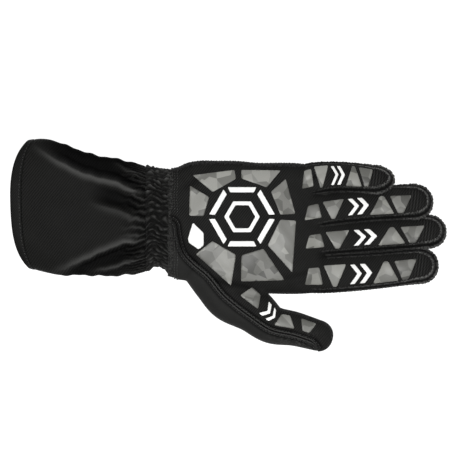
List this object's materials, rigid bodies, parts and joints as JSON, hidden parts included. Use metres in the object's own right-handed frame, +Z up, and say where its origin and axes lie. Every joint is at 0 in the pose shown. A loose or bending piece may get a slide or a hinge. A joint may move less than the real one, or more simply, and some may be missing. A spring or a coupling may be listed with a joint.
{
  "type": "karting glove",
  "caption": "Right-hand karting glove with a flared gauntlet, gathered wrist, outside seams and shards of silicone grip on the palm and fingers.",
  "frame": {"origin": "under the middle of the glove's box, on the surface it rests on", "axes": "+X from the cuff to the fingertips, +Y to the little finger's side, +Z up out of the palm"},
  "size_m": [0.3402, 0.165, 0.027],
  "materials": {
    "twill_gauntlet": "matt woven twill",
    "twill_hem": "matt turned twill hem",
    "gathered_twill": "matt gathered twill over elastic",
    "palm_microfibre": "matt brushed microfibre",
    "stretch_knit": "matt fine stretch knit",
    "light_grip_silicone": "satin printed silicone",
    "mid_grip_silicone": "satin printed silicone",
    "dark_grip_silicone": "satin printed silicone",
    "white_print": "satin white silicone print"
  },
  "bodies": {
    "root": {"gauntlet_cuff": "twill_gauntlet", "cuff_hem": "twill_hem", "wrist_band": "gathered_twill", "palm_panel": "palm_microfibre", "back_panel": "stretch_knit", "hexagon_bar_1": "white_print", "hexagon_bar_2": "white_print", "hexagon_bar_3": "white_print", "hexagon_bar_4": "white_print", "hexagon_bar_5": "white_print", "hexagon_bar_6": "white_print", "hexagon_core": "white_print", "index_chevron_1": "white_print", "index_chevron_2": "white_print", "index_lower_grip": "light_grip_silicone", "index_root_grip": "mid_grip_silicone", "index_tip_grip": "dark_grip_silicone", "index_upper_grip": "mid_grip_silicone", "little_chevron_1": "white_print", "little_chevron_2": "white_print", "little_lower_grip": "light_grip_silicone", "little_root_grip": "mid_grip_silicone", "little_tip_grip": "dark_grip_silicone", "little_upper_grip": "mid_grip_silicone", "middle_chevron_1": "white_print", "middle_chevron_2": "white_print", "middle_lower_grip": "light_grip_silicone", "middle_root_grip": "mid_grip_silicone", "middle_tip_grip": "dark_grip_silicone", "middle_upper_grip": "mid_grip_silicone", "palm_grip_1": "light_grip_silicone", "palm_grip_2": "mid_grip_silicone", "palm_grip_3": "light_grip_silicone", "palm_grip_4": "light_grip_silicone", "palm_grip_5": "mid_grip_silicone", "palm_grip_6": "mid_grip_silicone", "palm_grip_7": "dark_grip_silicone", "palm_patch": "white_print", "ring_chevron_1": "white_print", "ring_chevron_2": "white_print", "ring_lower_grip": "light_grip_silicone", "ring_root_grip": "mid_grip_silicone", "ring_tip_grip": "dark_grip_silicone", "ring_upper_grip": "mid_grip_silicone", "thumb_chevron_1": "white_print", "thumb_chevron_2": "white_print", "thumb_root_grip": "dark_grip_silicone", "thumb_tip_grip": "mid_grip_silicone", "thumb_upper_grip": "light_grip_silicone"}
  },
  "joints": []
}
